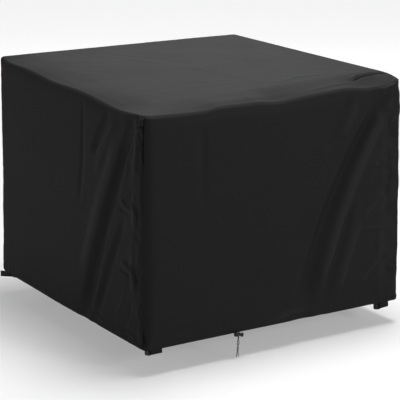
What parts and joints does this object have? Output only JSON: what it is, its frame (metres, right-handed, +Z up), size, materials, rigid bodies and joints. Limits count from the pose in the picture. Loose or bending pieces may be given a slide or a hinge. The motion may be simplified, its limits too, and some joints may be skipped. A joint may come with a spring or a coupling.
{
  "type": "patio furniture cover",
  "caption": "Fitted box-shaped cover of coated cloth for a square patio dining set, with corner seams, a cased hem, leg straps with side release buckles, and a drawcord with a cord lock.",
  "frame": {"origin": "under the middle of the top panel, on its inner face, where the furniture holds the cover up", "axes": "+Z up, -Y out of the front side with the cord lock, -X out of the left side"},
  "size_m": [1.235, 1.2714, 1.0546],
  "materials": {
    "coated_cloth": "black polyester cloth with a coated back, slightly sheeny",
    "webbing": "matte black woven webbing",
    "buckle_plastic": "satin black moulded plastic",
    "lock_plastic": "half-gloss black moulded plastic",
    "drawcord": "black braided cord"
  },
  "bodies": {
    "root": {"top_panel": "coated_cloth", "side_panel_left": "coated_cloth", "side_panel_front": "coated_cloth", "side_panel_right": "coated_cloth", "side_panel_back": "coated_cloth", "strap_left": "webbing", "strap_front": "webbing", "strap_right": "webbing", "strap_back": "webbing", "buckle_socket_left": "buckle_plastic", "buckle_socket_front": "buckle_plastic", "buckle_socket_right": "buckle_plastic", "buckle_socket_back": "buckle_plastic", "buckle_plug_left": "buckle_plastic", "buckle_plug_front": "buckle_plastic", "buckle_plug_right": "buckle_plastic", "buckle_plug_back": "buckle_plastic", "cord_lock_body": "lock_plastic", "cord_lock_button": "lock_plastic", "drawcord_tail_a": "drawcord", "drawcord_tail_b": "drawcord"}
  },
  "joints": []
}
